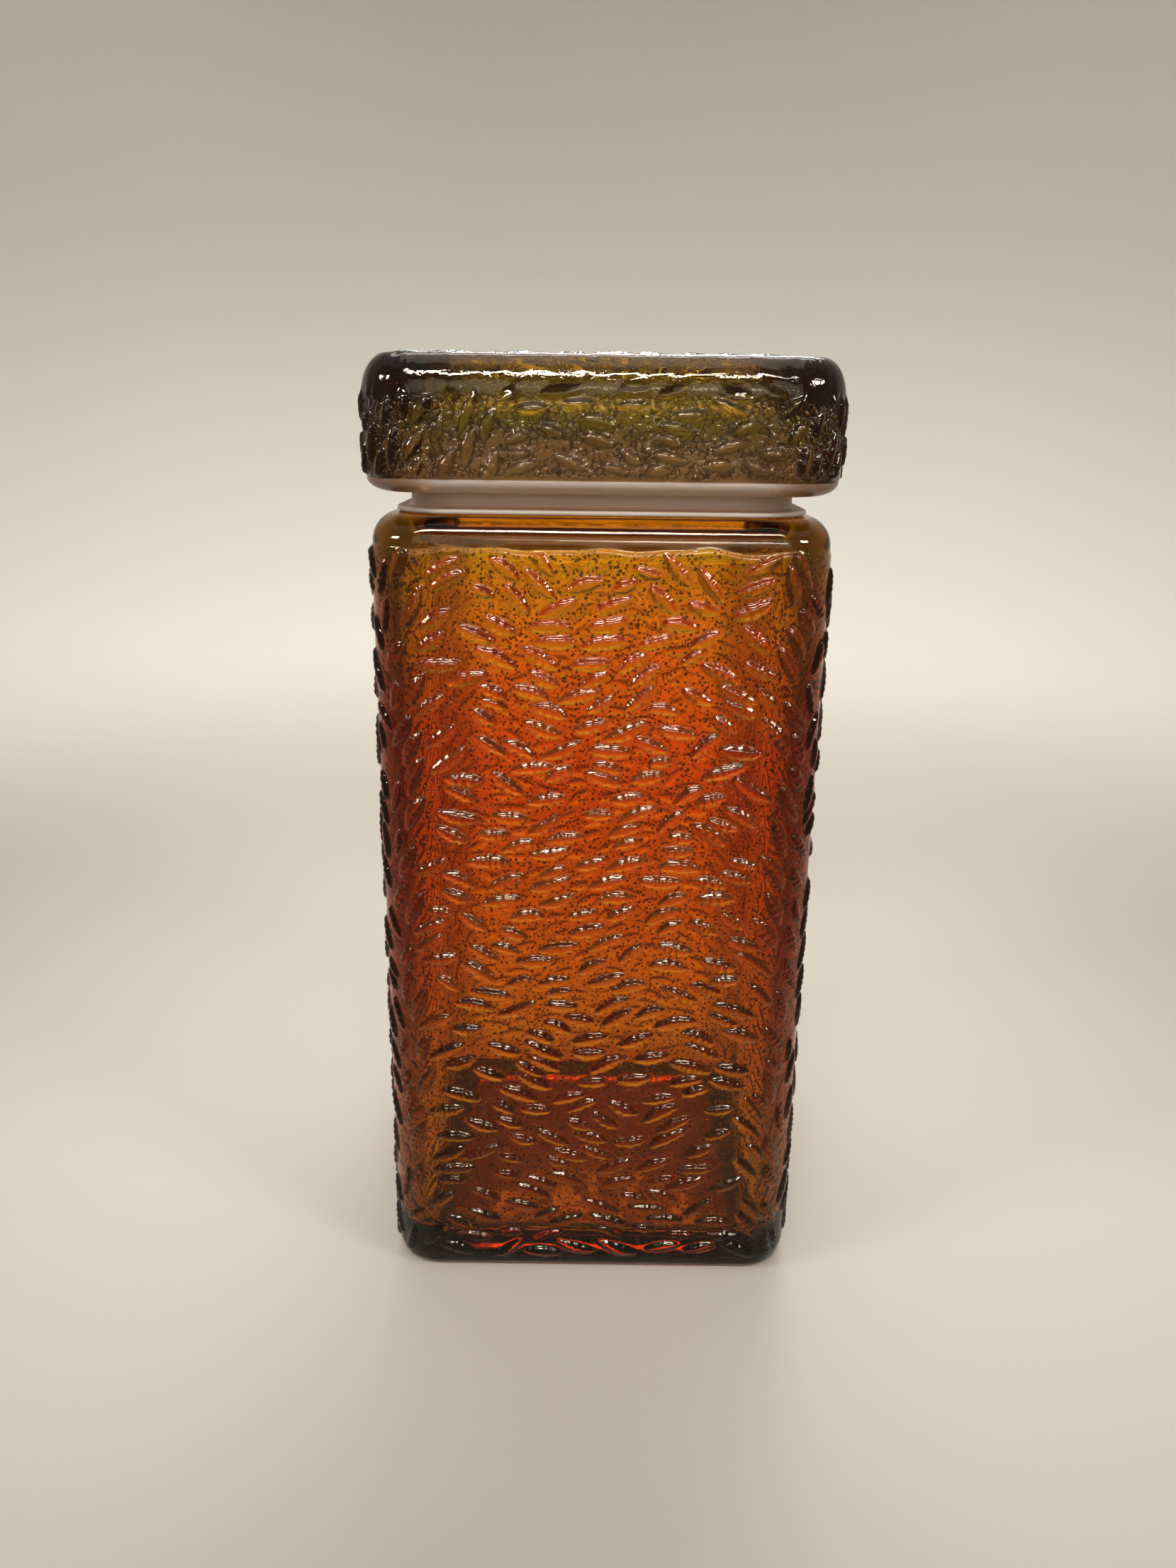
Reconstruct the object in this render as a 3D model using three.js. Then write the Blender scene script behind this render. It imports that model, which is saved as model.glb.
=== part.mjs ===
// Square apothecary jar: a pressed amber glass body and lid, with a soft plastic seal pushed over the neck.
// Millimetres, +Z up. The origin is the centre of the base, on the surface the jar stands on.
// Every piece is a stack of rounded squares joined into one closed skin, so a piece is described by its
// half section: how far each level reaches from the axis, how high it is and how round its corners are.
import * as THREE from 'three';

// Body
const BODY_WIDTH = 120.0; // across two opposite patterned faces
const BODY_CORNER = 13.5; // plan radius of the upright corners
const PANEL_STEP = 0.5; // how far the patterned panels stand out of the plain glass
const PANEL_BEVEL = 0.6; // height of the slope at a panel's edge
const BODY_WALL = 4.0;
const INNER_CORNER = 15.0; // plan radius of the corners inside, rounder than outside, so the glass is thick there
const FOOT_ROUND_OUT = 4.2; // the base edge's rounding, inwards
const FOOT_ROUND_UP = 4.5; // and upwards
const PANEL_BOTTOM = 5.0;
const PANEL_TOP = 216.0;
const SHOULDER_HEIGHT = 224.4; // the level ledge the seal's flange rests on
const LEDGE_HALF = 54.6;
const HOLLOW_FOOT_HALF = 44.0; // the base is hollowed inside this, so the jar stands on a flat ring
const HOLLOW_FOOT_DEPTH = 1.2;
const HOLLOW_FOOT_SLOPE = 3.0;
const FLOOR_THICKNESS = 8.0;
const FLOOR_ROUND = 8.0; // between the floor and the walls, inside
const FLOOR_CROWN = 1.4; // the floor's rise at the middle

// Neck
const NECK_HALF = 49.0;
const NECK_CORNER = 12.7;
const NECK_WALL = 4.0;
const NECK_TOP = 250.0;
const NECK_ROOT_ROUND = 1.0;
const INNER_SHOULDER_ROUND = 2.0;

// Seal
const GAP = 0.3; // clearance wherever two pieces meet
const SEAL_WALL = 1.15;
const SEAL_TOP_THICKNESS = 1.2;
const SEAL_TOP_ROUND = 1.5;
const FLANGE_HALF = 54.3;
const FLANGE_THICKNESS = 1.4;
const FLANGE_ROOT_ROUND = 0.9;
const SKIRT_BOTTOM = 243.5; // lower edge of the part of the seal that hangs inside the neck
const RIB_HEIGHTS = [236.0, 241.0, 246.0]; // ribs that grip the inside of the lid
const RIB_REACH = 0.7;
const RIB_HALF_HEIGHT = 0.8;

// Lid
const LID_WIDTH = 121.8;
const LID_CORNER = 15.0;
const LID_BOTTOM = 230.1;
const LID_TOP = 263.7;
const LID_CROWN = 0.6; // rise of the top between its rounded edge and the middle
const LID_EDGE_IN = 6.5; // the top edge's rounding, inwards
const LID_EDGE_DOWN = 9.0; // and downwards
const LID_FOOT_IN = 6.4; // the lower edge's rounding, inwards
const LID_FOOT_UP = 3.6; // and upwards
const RECESS_HALF = 51.5;
const RECESS_ROUND = 2.0; // between the recess's walls and the seat that rests on the seal
const RECESS_MOUTH_ROUND = 1.5;
const SEAT_INNER_HALF = 45.5; // inside this the recess goes on up, so the top is hollow over the mouth
const TOP_THICKNESS = 5.5;
const CEILING_ROUND = 3.0;

// Fineness of the facets
const CORNER_STEPS = 8;
const ARC_STEPS = 5;

// One level of a half section. Families of levels share their corner centres, as real offsets do.
const level = (half, z, corner) => ({ half, z, corner });
const familyOf = (half0, corner0) => (half, z) => level(half, z, corner0 + half - half0);
const onBody = familyOf(BODY_WIDTH / 2, BODY_CORNER);
const onNeck = familyOf(NECK_HALF, NECK_CORNER);
const onLid = familyOf(LID_WIDTH / 2, LID_CORNER);
const onInside = familyOf(BODY_WIDTH / 2 - BODY_WALL, INNER_CORNER);
const onAxis = (z) => level(0, z, 0);

// A quarter ellipse between two levels, without its first point. It leaves the first one upright or level.
function quarter(start, end, leaving) {
  const points = [];
  for (let step = 1; step <= ARC_STEPS; step += 1) {
    const angle = (step / ARC_STEPS) * (Math.PI / 2);
    const slow = 1 - Math.cos(angle);
    const fast = Math.sin(angle);
    const across = leaving === 'upright' ? slow : fast;
    const up = leaving === 'upright' ? fast : slow;
    points.push(
      level(
        THREE.MathUtils.lerp(start.half, end.half, across),
        THREE.MathUtils.lerp(start.z, end.z, up),
        THREE.MathUtils.lerp(start.corner, end.corner, across),
      ),
    );
  }
  return points;
}

// The outline of one level, counter-clockwise seen from above, starting in the +X +Y corner.
function ringOf({ half, z, corner }) {
  const centre = half - corner;
  const points = [];
  for (let side = 0; side < 4; side += 1) {
    const middle = (side + 0.5) * (Math.PI / 2);
    const cornerX = Math.sign(Math.cos(middle)) * centre;
    const cornerY = Math.sign(Math.sin(middle)) * centre;
    for (let step = 0; step <= CORNER_STEPS; step += 1) {
      const angle = (side + step / CORNER_STEPS) * (Math.PI / 2);
      points.push([cornerX + corner * Math.cos(angle), cornerY + corner * Math.sin(angle), z]);
    }
  }
  return points;
}

// The skin through a list of levels. A section that starts and ends on the axis closes there; any other
// one closes on itself. Outer walls are listed going up and inner walls going down.
function skinOf(section) {
  const aroundAxis = section[0].half === 0;
  const vertices = [];
  const rings = section.map((station) => {
    const points = station.half === 0 ? [[0, 0, station.z]] : ringOf(station);
    const first = vertices.length / 3;
    points.forEach((point) => vertices.push(...point));
    return { first, count: points.length };
  });
  if (!aroundAxis) {
    rings.push(rings[0]);
  }
  const around = 4 * (CORNER_STEPS + 1);
  const faces = [];
  for (let row = 0; row + 1 < rings.length; row += 1) {
    const [below, above] = [rings[row], rings[row + 1]];
    for (let step = 0; step < around; step += 1) {
      const next = (step + 1) % around;
      const lower = (index) => below.first + (below.count === 1 ? 0 : index);
      const upper = (index) => above.first + (above.count === 1 ? 0 : index);
      if (below.count > 1) {
        faces.push(lower(step), lower(next), upper(next));
      }
      if (above.count > 1) {
        faces.push(lower(step), upper(next), upper(step));
      }
    }
  }
  const skin = new THREE.BufferGeometry();
  skin.setAttribute('position', new THREE.Float32BufferAttribute(vertices, 3));
  skin.setIndex(faces);
  skin.computeVertexNormals();
  return skin;
}

function piece(name, section, material) {
  const mesh = new THREE.Mesh(skinOf(section), new THREE.MeshStandardMaterial(material));
  mesh.name = name;
  return mesh;
}

function bodySection() {
  const plainHalf = BODY_WIDTH / 2 - PANEL_STEP;
  const innerHalf = BODY_WIDTH / 2 - BODY_WALL;
  const neckInner = NECK_HALF - NECK_WALL;
  const rimRound = NECK_WALL / 2;
  const innerLedge = SHOULDER_HEIGHT - BODY_WALL;
  const footEdge = onBody(plainHalf - FOOT_ROUND_OUT, 0);
  const footTop = onBody(plainHalf, FOOT_ROUND_UP);
  const shoulderStart = onBody(plainHalf, PANEL_TOP + PANEL_BEVEL);
  const neckRoot = onNeck(NECK_HALF, SHOULDER_HEIGHT + NECK_ROOT_ROUND);
  const neckRootOut = onNeck(NECK_HALF + NECK_ROOT_ROUND, SHOULDER_HEIGHT);
  const rimOut = onNeck(NECK_HALF, NECK_TOP - rimRound);
  const rimTop = onNeck(NECK_HALF - rimRound, NECK_TOP);
  const rimIn = onNeck(neckInner, NECK_TOP - rimRound);
  const innerNeckEnd = onNeck(neckInner, innerLedge + INNER_SHOULDER_ROUND);
  const innerLedgeStart = onNeck(neckInner + INNER_SHOULDER_ROUND, innerLedge);
  const innerLedgeEnd = onNeck(LEDGE_HALF - BODY_WALL, innerLedge);
  const innerWallTop = onInside(innerHalf, SHOULDER_HEIGHT - 3 * BODY_WALL);
  const innerWallBottom = onInside(innerHalf, FLOOR_THICKNESS + FLOOR_ROUND);
  const floorEdge = onInside(innerHalf - FLOOR_ROUND, FLOOR_THICKNESS);
  return [
    onAxis(HOLLOW_FOOT_DEPTH),
    level(HOLLOW_FOOT_HALF - HOLLOW_FOOT_SLOPE, HOLLOW_FOOT_DEPTH, BODY_CORNER / 2),
    level(HOLLOW_FOOT_HALF, 0, BODY_CORNER / 2),
    footEdge,
    ...quarter(footEdge, footTop, 'level'),
    onBody(plainHalf, PANEL_BOTTOM),
    onBody(BODY_WIDTH / 2, PANEL_BOTTOM + PANEL_BEVEL),
    onBody(BODY_WIDTH / 2, PANEL_TOP),
    shoulderStart,
    ...quarter(shoulderStart, onNeck(LEDGE_HALF, SHOULDER_HEIGHT), 'upright'),
    neckRootOut,
    ...quarter(neckRootOut, neckRoot, 'level'),
    rimOut,
    ...quarter(rimOut, rimTop, 'upright'),
    ...quarter(rimTop, rimIn, 'level'),
    innerNeckEnd,
    ...quarter(innerNeckEnd, innerLedgeStart, 'upright'),
    innerLedgeEnd,
    ...quarter(innerLedgeEnd, innerWallTop, 'level'),
    innerWallBottom,
    ...quarter(innerWallBottom, floorEdge, 'upright'),
    onAxis(FLOOR_THICKNESS + FLOOR_CROWN),
  ];
}

function sealSection() {
  const bottom = SHOULDER_HEIGHT + GAP;
  const inner = NECK_HALF + GAP;
  const outer = inner + SEAL_WALL;
  const underTop = NECK_TOP + GAP;
  const top = underTop + SEAL_TOP_THICKNESS;
  const skirtOuter = NECK_HALF - NECK_WALL - GAP;
  const skirtInner = skirtOuter - SEAL_WALL;
  const flangeTop = bottom + FLANGE_THICKNESS;
  const wallRoot = onNeck(outer, flangeTop + FLANGE_ROOT_ROUND);
  const flangeRoot = onNeck(outer + FLANGE_ROOT_ROUND, flangeTop);
  const flangeMiddle = onNeck(FLANGE_HALF, bottom + FLANGE_THICKNESS / 2);
  const edgeRound = FLANGE_THICKNESS / 2;
  const underEdge = onNeck(FLANGE_HALF - edgeRound, bottom);
  const ribs = RIB_HEIGHTS.flatMap((z) => [
    onNeck(outer, z - RIB_HALF_HEIGHT),
    onNeck(outer + RIB_REACH, z - RIB_HALF_HEIGHT / 3),
    onNeck(outer + RIB_REACH, z + RIB_HALF_HEIGHT / 3),
    onNeck(outer, z + RIB_HALF_HEIGHT),
  ]);
  const topOuter = onNeck(outer, top - SEAL_TOP_ROUND);
  const topInner = onNeck(skirtInner, top - SEAL_TOP_ROUND);
  return [
    onNeck(inner + SEAL_WALL, bottom),
    underEdge,
    ...quarter(underEdge, flangeMiddle, 'level'),
    ...quarter(flangeMiddle, onNeck(FLANGE_HALF - edgeRound, flangeTop), 'upright'),
    flangeRoot,
    ...quarter(flangeRoot, wallRoot, 'level'),
    ...ribs,
    topOuter,
    ...quarter(topOuter, onNeck(outer - SEAL_TOP_ROUND, top), 'upright'),
    onNeck(skirtInner + SEAL_TOP_ROUND, top),
    ...quarter(onNeck(skirtInner + SEAL_TOP_ROUND, top), topInner, 'level'),
    onNeck(skirtInner, SKIRT_BOTTOM),
    onNeck(skirtOuter, SKIRT_BOTTOM),
    onNeck(skirtOuter, underTop),
    onNeck(inner, underTop),
    onNeck(inner, bottom + SEAL_WALL),
  ];
}

function lidSection() {
  const plainHalf = LID_WIDTH / 2 - PANEL_STEP;
  const seat = NECK_TOP + GAP + SEAL_TOP_THICKNESS + GAP;
  const ceiling = LID_TOP - TOP_THICKNESS;
  const ceilingEdge = onNeck(SEAT_INNER_HALF - CEILING_ROUND, ceiling);
  const hollowTop = onNeck(SEAT_INNER_HALF, ceiling - CEILING_ROUND);
  const seatEdge = onNeck(RECESS_HALF - RECESS_ROUND, seat);
  const recessTop = onNeck(RECESS_HALF, seat - RECESS_ROUND);
  const mouthInside = onNeck(RECESS_HALF, LID_BOTTOM + RECESS_MOUTH_ROUND);
  const mouthUnder = onNeck(RECESS_HALF + RECESS_MOUTH_ROUND, LID_BOTTOM);
  const footUnder = onLid(plainHalf - LID_FOOT_IN, LID_BOTTOM);
  const footTop = onLid(plainHalf, LID_BOTTOM + LID_FOOT_UP);
  const edgeStart = onLid(LID_WIDTH / 2, LID_TOP - LID_CROWN - LID_EDGE_DOWN);
  const edgeEnd = onLid(LID_WIDTH / 2 - LID_EDGE_IN, LID_TOP - LID_CROWN);
  const crown = [0.75, 0.4].map((share) => {
    const rise = LID_CROWN * (1 - share * share);
    return level(edgeEnd.half * share, edgeEnd.z + rise, edgeEnd.corner * share);
  });
  return [
    onAxis(ceiling),
    ceilingEdge,
    ...quarter(ceilingEdge, hollowTop, 'level'),
    onNeck(SEAT_INNER_HALF, seat),
    seatEdge,
    ...quarter(seatEdge, recessTop, 'level'),
    mouthInside,
    ...quarter(mouthInside, mouthUnder, 'upright'),
    footUnder,
    ...quarter(footUnder, footTop, 'level'),
    onLid(LID_WIDTH / 2, LID_BOTTOM + LID_FOOT_UP + PANEL_BEVEL),
    edgeStart,
    ...quarter(edgeStart, edgeEnd, 'upright'),
    ...crown,
    onAxis(LID_TOP),
  ];
}

const AMBER_GLASS = { color: 0x7a3606, roughness: 0.08, metalness: 0.0 };
const LID_GLASS = { color: 0x6b3a0c, roughness: 0.08, metalness: 0.0 };
const SOFT_PLASTIC = { color: 0xcfc4bd, roughness: 0.45, metalness: 0.0 };

const jar = new THREE.Group();
jar.name = 'apothecary_jar';
jar.add(piece('jar_body', bodySection(), AMBER_GLASS));
jar.add(piece('neck_seal', sealSection(), SOFT_PLASTIC));
jar.add(piece('lid', lidSection(), LID_GLASS));

export default jar;
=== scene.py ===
"""Looks of the square amber apothecary jar: pressed glass body and lid, frosted plastic seal.

Lengths are in millimetres until a mesh is made, and metres from then on. Each piece is a stack of
rounded squares. A ring of columns runs round the jar, and each level of a half section says how far it
reaches from the axis, how high it is and how round its corners are.
"""

import math
import random

import bpy
import numpy as np
from mathutils import Matrix, Vector


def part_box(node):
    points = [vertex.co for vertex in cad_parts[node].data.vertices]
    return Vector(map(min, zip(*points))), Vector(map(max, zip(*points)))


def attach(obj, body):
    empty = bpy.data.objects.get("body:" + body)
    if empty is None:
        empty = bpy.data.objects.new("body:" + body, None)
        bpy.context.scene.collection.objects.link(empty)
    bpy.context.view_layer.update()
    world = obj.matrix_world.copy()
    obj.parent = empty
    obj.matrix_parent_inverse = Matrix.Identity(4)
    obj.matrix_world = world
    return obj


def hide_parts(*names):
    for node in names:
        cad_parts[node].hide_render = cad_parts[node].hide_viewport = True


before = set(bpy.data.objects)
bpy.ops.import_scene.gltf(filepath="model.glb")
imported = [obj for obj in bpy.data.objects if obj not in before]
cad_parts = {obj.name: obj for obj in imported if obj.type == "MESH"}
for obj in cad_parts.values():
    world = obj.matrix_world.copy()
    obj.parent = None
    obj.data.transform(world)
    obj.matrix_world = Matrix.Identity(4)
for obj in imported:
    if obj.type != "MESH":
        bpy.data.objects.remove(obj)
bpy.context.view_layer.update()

MM = 0.001
GRID = 0.5  # spacing of the relief's mesh


def top_of(node):
    """Height of a CAD node's highest point, in millimetres."""
    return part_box(node)[1].z / MM


# ---------------------------------------------------------------- sizes shared with the CAD
BODY_HALF = 60.0
BODY_CORNER = 13.5
BODY_WALL = 4.0
INNER_CORNER = 15.0
NECK_HALF = 49.0
NECK_CORNER = 12.7
NECK_WALL = 4.0
NECK_TOP = top_of("jar_body")
LEDGE = 224.4
LEDGE_HALF = 54.6
PANEL_LOW = 5.0
PANEL_HIGH = 216.3
SEAL_TOP = top_of("neck_seal")
LID_HALF = 60.9
LID_CORNER = 15.0
LID_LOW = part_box("lid")[0].z / MM
LID_TOP = top_of("lid")
SEAL_RIBS = (236.0, 241.0, 246.0)
SEAL_FLANGE_HALF = 54.3
LEAF_SEED = 20751


def smooth_step(low, high, value):
    """0 at low, 1 at high and smooth between; low may be the larger of the two."""
    t = np.clip((value - low) / (high - low), 0, 1)
    return t * t * (3 - 2 * t)


# ---------------------------------------------------------------- rounded-square rings
class Columns:
    """Where the upright columns of a piece stand round its rounded-square plan."""

    def __init__(self, half, corner, spacing):
        straight = max(2, round(2 * (half - corner) / spacing))
        turn = max(4, round(corner * math.pi / 2 / spacing))
        centres, outs = [], []
        signs = [(1, 1), (-1, 1), (-1, -1), (1, -1)]
        for side in range(4):
            here = np.array(signs[side], float)
            after = np.array(signs[(side + 1) % 4], float)
            for step in range(turn):
                angle = (side + step / turn) * math.pi / 2
                centres.append(here)
                outs.append((math.cos(angle), math.sin(angle)))
            angle = (side + 1) * math.pi / 2
            for step in range(straight):
                share = step / straight
                centres.append(here * (1 - share) + after * share)
                outs.append((math.cos(angle), math.sin(angle)))
        self.centre = np.array(centres)
        self.out = np.array(outs)
        places = self.at(half, corner)
        steps = np.linalg.norm(np.roll(places, -1, 0) - places, axis=1)
        self.around = np.concatenate([[0], np.cumsum(steps)[:-1]])
        self.length = float(steps.sum())
        self.count = len(centres)

    def at(self, half, corner):
        return self.centre * (half - corner) + self.out * corner


def family(half0, corner0):
    """Levels whose corners share their centres with a rounded square of half0 and corner0."""

    def level(half, z):
        return (half, z, max(corner0 + half - half0, 0.35 * min(half, corner0)))

    return level


on_body = family(BODY_HALF, BODY_CORNER)
on_neck = family(NECK_HALF, NECK_CORNER)
on_lid = family(LID_HALF, LID_CORNER)
on_inside = family(BODY_HALF - BODY_WALL, INNER_CORNER)


def quarter(start, end, leaving, steps=7):
    """Levels along a quarter ellipse, without the first one. It leaves start upright or level."""
    levels = []
    for step in range(1, steps + 1):
        angle = step / steps * math.pi / 2
        slow, fast = 1 - math.cos(angle), math.sin(angle)
        across, up = (slow, fast) if leaving == "upright" else (fast, slow)
        levels.append(
            (
                start[0] + (end[0] - start[0]) * across,
                start[1] + (end[1] - start[1]) * up,
                start[2] + (end[2] - start[2]) * across,
            )
        )
    return levels


def run(start, end, spacing):
    """Evenly spaced levels from start to end, without start."""
    a, b = np.array(start), np.array(end)
    count = max(1, round(float(np.linalg.norm(b[:2] - a[:2])) / spacing))
    return [tuple(a + (b - a) * step / count) for step in range(1, count + 1)]


def closed_mesh(name, columns, levels, lift=None, closed_loop=False, marks=None):
    """One watertight skin through the levels. lift moves each vertex out along the section's normal.
    The first and last levels close on the axis unless the section closes on itself."""
    levels = np.array(levels)
    count, rows = columns.count, len(levels)
    points = np.zeros((rows, count, 3))
    for row, (half, z, corner) in enumerate(levels):
        points[row, :, :2] = columns.at(half, corner)
        points[row, :, 2] = z
    if lift is not None:
        along = np.gradient(levels[:, :2], axis=0)
        along /= np.maximum(np.linalg.norm(along, axis=1, keepdims=True), 1e-9)
        points[:, :, :2] += columns.out[None] * (along[:, 1, None] * lift)[:, :, None]
        points[:, :, 2] -= along[:, 0, None] * lift
    vertices = points.reshape(-1, 3) * MM
    index = np.arange(rows * count).reshape(rows, count)
    lower, upper = (index, np.roll(index, -1, 0)) if closed_loop else (index[:-1], index[1:])
    quads = np.stack(
        [lower, np.roll(lower, -1, 1), np.roll(upper, -1, 1), upper], axis=-1
    ).reshape(-1, 4)
    faces = quads.tolist()
    if not closed_loop:
        faces.append(index[0, ::-1].tolist())
        faces.append(index[-1].tolist())
    mesh = bpy.data.meshes.new(name)
    mesh.from_pydata(vertices.tolist(), [], faces)
    for mark, values in (marks or {}).items():
        layer = mesh.attributes.new(mark, "FLOAT", "POINT")
        layer.data.foreach_set("value", values.astype(np.float32).ravel())
    mesh.shade_smooth()
    mesh.update()
    piece = bpy.data.objects.new(name, mesh)
    bpy.context.scene.collection.objects.link(piece)
    return piece


# ---------------------------------------------------------------- the pressed leaf pattern
chance = random.Random(LEAF_SEED)
waves = [
    (chance.uniform(-1, 1), chance.uniform(-1, 1), chance.uniform(0, 2 * math.pi))
    for _ in range(9)
]


def drift(x, y, size):
    """Smooth wandering value about -1 to 1, changing over roughly size millimetres."""
    total = 0.0
    for kx, ky, phase in waves:
        total = total + np.sin((kx * x + ky * y) * 4.4 / size + phase)
    return total / 2.6


class Leaf:
    """One raised leaf: a pointed, slightly bent and ribbed ridge."""

    def __init__(self, x, y, angle, half_length, half_width, height):
        self.x, self.y, self.angle = x, y, angle
        self.half_length, self.half_width, self.height = half_length, half_width, height
        self.bend = chance.uniform(-0.55, 0.55)
        self.rib_pitch = chance.uniform(1.5, 2.3)
        self.rib_phase = chance.uniform(0, 2 * math.pi)
        self.rib_depth = chance.uniform(0.04, 0.16)

    def spine(self):
        """Five places along the leaf, for keeping leaves apart."""
        c, s = math.cos(self.angle), math.sin(self.angle)
        return [
            (self.x + c * self.half_length * t, self.y + s * self.half_length * t)
            for t in (-0.9, -0.45, 0.0, 0.45, 0.9)
        ]

    def rise(self, dx, dy):
        """Height over the ground at offsets from the leaf's middle."""
        c, s = math.cos(self.angle), math.sin(self.angle)
        along = (dx * c + dy * s) / self.half_length
        across = dy * c - dx * s
        inside = np.clip(1 - along**2, 0, 1)
        across = across - self.bend * inside * self.half_width * 0.7
        edge = self.half_width * inside**0.62 * (
            1 + 0.08 * np.sin(along * self.half_length * 2.1 + self.rib_phase)
        )
        share = np.clip(1 - (across / np.maximum(edge, 1e-6)) ** 2, 0, 1)
        ribs = 1 + self.rib_depth * np.sin(
            along * self.half_length * 2 * math.pi / self.rib_pitch + self.rib_phase
        )
        rise = self.height * share**0.62 * inside**0.28 * ribs
        return np.where((along > -1) & (along < 1), rise, 0.0)


def far_enough(leaf, others, least, wrap=None):
    """Whether a leaf keeps at least that distance, spine to spine, from all the others."""
    for other in others:
        dx = abs(other.x - leaf.x)
        if wrap:
            dx = min(dx, wrap - dx)
        if dx > 15 or abs(other.y - leaf.y) > 15:
            continue
        for ax, ay in leaf.spine():
            for bx, by in other.spine():
                gap = ax - bx
                if wrap:
                    gap = (gap + wrap / 2) % wrap - wrap / 2
                if gap * gap + (ay - by) ** 2 < least * least:
                    return False
    return True


def scatter(width, low, high, pitch_x, pitch_y, tilt, size, least, wrap=None, left=0.0):
    """Leaves in loose rows over a band. tilt(x, y) gives the angle of a leaf at a place."""
    leaves = []
    rows = max(1, round((high - low) / pitch_y))
    across = max(1, round(width / pitch_x))
    for row in range(rows):
        for step in range(across):
            for attempt in range(7):
                loose = 0.16 + 0.05 * attempt
                x = left + (step + 0.5 * (row % 2) + chance.gauss(0, loose)) * width / across
                y = low + (row + 0.5 + chance.gauss(0, loose)) * (high - low) / rows
                if wrap:
                    x %= wrap
                long_half, wide_half, height = size(attempt)
                leaf = Leaf(x, y, tilt(x, y), long_half, wide_half, height)
                if y < low or y > high:
                    continue
                if far_enough(leaf, leaves, least, wrap):
                    leaves.append(leaf)
                    break
    return leaves


def press(leaves, xs, ys, wrap=None):
    """Height of the leaves over a grid of places: the highest leaf at each place counts."""
    height = np.zeros((len(ys), len(xs)))
    for leaf in leaves:
        reach = leaf.half_length + 1.5
        rows = np.nonzero(np.abs(ys - leaf.y) < reach)[0]
        dx = xs - leaf.x
        if wrap:
            dx = (dx + wrap / 2) % wrap - wrap / 2
        cols = np.nonzero(np.abs(dx) < reach)[0]
        if not len(rows) or not len(cols):
            continue
        patch = leaf.rise(dx[cols][None, :], (ys[rows] - leaf.y)[:, None])
        spot = np.ix_(rows, cols)
        height[spot] = np.maximum(height[spot], patch)
    return height


def flanks(leaves, xs, ys, wrap=None):
    """Over a grid of places, painted shade where the leaves' sides face steeply up or sideways (up to
    1), painted light on their rims facing steeply down (down to -1), and where their steep outlines run."""
    reach = 0.35
    above = press(leaves, xs, ys + reach, wrap)
    below = press(leaves, xs, ys - reach, wrap)
    slope = (below - above) / (2 * reach)
    before = press(leaves, xs - reach, ys, wrap)
    after = press(leaves, xs + reach, ys, wrap)
    sideways = np.abs(after - before) / (2 * reach)
    dark = np.maximum(smooth_step(0.03, 0.30, slope), 0.7 * smooth_step(0.22, 0.60, sideways))
    rims = smooth_step(0.30, 0.70, -slope)
    outlines = smooth_step(0.40, 0.95, np.hypot(slope, sideways))
    return dark - rims, outlines


def corner_share(x, length, corner):
    """1 at the middle of an upright corner and 0 on the flat faces, x being measured round the piece."""
    arc = corner * math.pi / 2
    from_corner = ((x - arc / 2) + length / 8) % (length / 4) - length / 8
    return max(0.0, 1 - abs(from_corner) / (arc / 2 + 5.0)), from_corner


def corner_marks(columns, corner, rows):
    """1 round the upright corners, fading to 0 on the faces, for every level of a skin: where painted
    shade goes.
    """
    arc = corner * math.pi / 2
    quarter_way = columns.length / 4
    from_middle = np.abs((columns.around - arc / 2 + quarter_way / 2) % quarter_way - quarter_way / 2)
    share = smooth_step(arc / 2 + 7.0, arc / 2 - 4.0, from_middle)
    return np.repeat(share[None], rows, 0)


def tilt_on(length, corner, lean, steep):
    """Makes the rule for a body leaf's angle: leaning on the faces, nearly upright at the corners."""

    def tilt(x, y):
        share, side = corner_share(x, length, corner)
        lean_here = lean * (0.6 + 0.5 * y / PANEL_HIGH)
        flat = lean_here * math.tanh(2.2 * drift(x, y, 24.0) - 0.25)
        flat += chance.gauss(0, math.radians(9))
        upright = math.copysign(steep, side) + chance.gauss(0, math.radians(8))
        bend = min(1.0, share * 2.2)
        return flat * (1 - bend) + upright * bend

    return tilt


# ---------------------------------------------------------------- materials
def node(tree, kind, x, y, **values):
    """A shader node at a place in the tree, with its settings or input values."""
    made = tree.nodes.new(kind)
    made.location = (x, y)
    for key, value in values.items():
        if hasattr(made, key):
            setattr(made, key, value)
        else:
            made.inputs[key.replace("_", " ")].default_value = value
    return made


def material(name):
    """An empty material with a Principled shader joined to its output."""
    made = bpy.data.materials.new(name)
    made.use_nodes = True
    tree = made.node_tree
    tree.nodes.clear()
    out = node(tree, "ShaderNodeOutputMaterial", 900, 0)
    shader = node(tree, "ShaderNodeBsdfPrincipled", 600, 0)
    tree.links.new(shader.outputs["BSDF"], out.inputs["Surface"])
    return made, tree, shader, out


def blend_colour(tree, factor, a, b, x, y):
    """Colour a where factor is 0 and b where it is 1; each is a colour or a socket."""
    mix = node(tree, "ShaderNodeMix", x, y, data_type="RGBA")
    tree.links.new(factor, mix.inputs[0])
    for socket, value in ((mix.inputs[6], a), (mix.inputs[7], b)):
        if isinstance(value, tuple):
            socket.default_value = (*value, 1)
        else:
            tree.links.new(value, socket)
    return mix.outputs[2]


def ramp_of(tree, value, low, high, x, y):
    """0 where the value is low and 1 where it is high, smooth between."""
    ramp = node(tree, "ShaderNodeMapRange", x, y, interpolation_type="SMOOTHSTEP")
    tree.links.new(value, ramp.inputs["Value"])
    ramp.inputs["From Min"].default_value = low
    ramp.inputs["From Max"].default_value = high
    return ramp.outputs["Result"]


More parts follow.
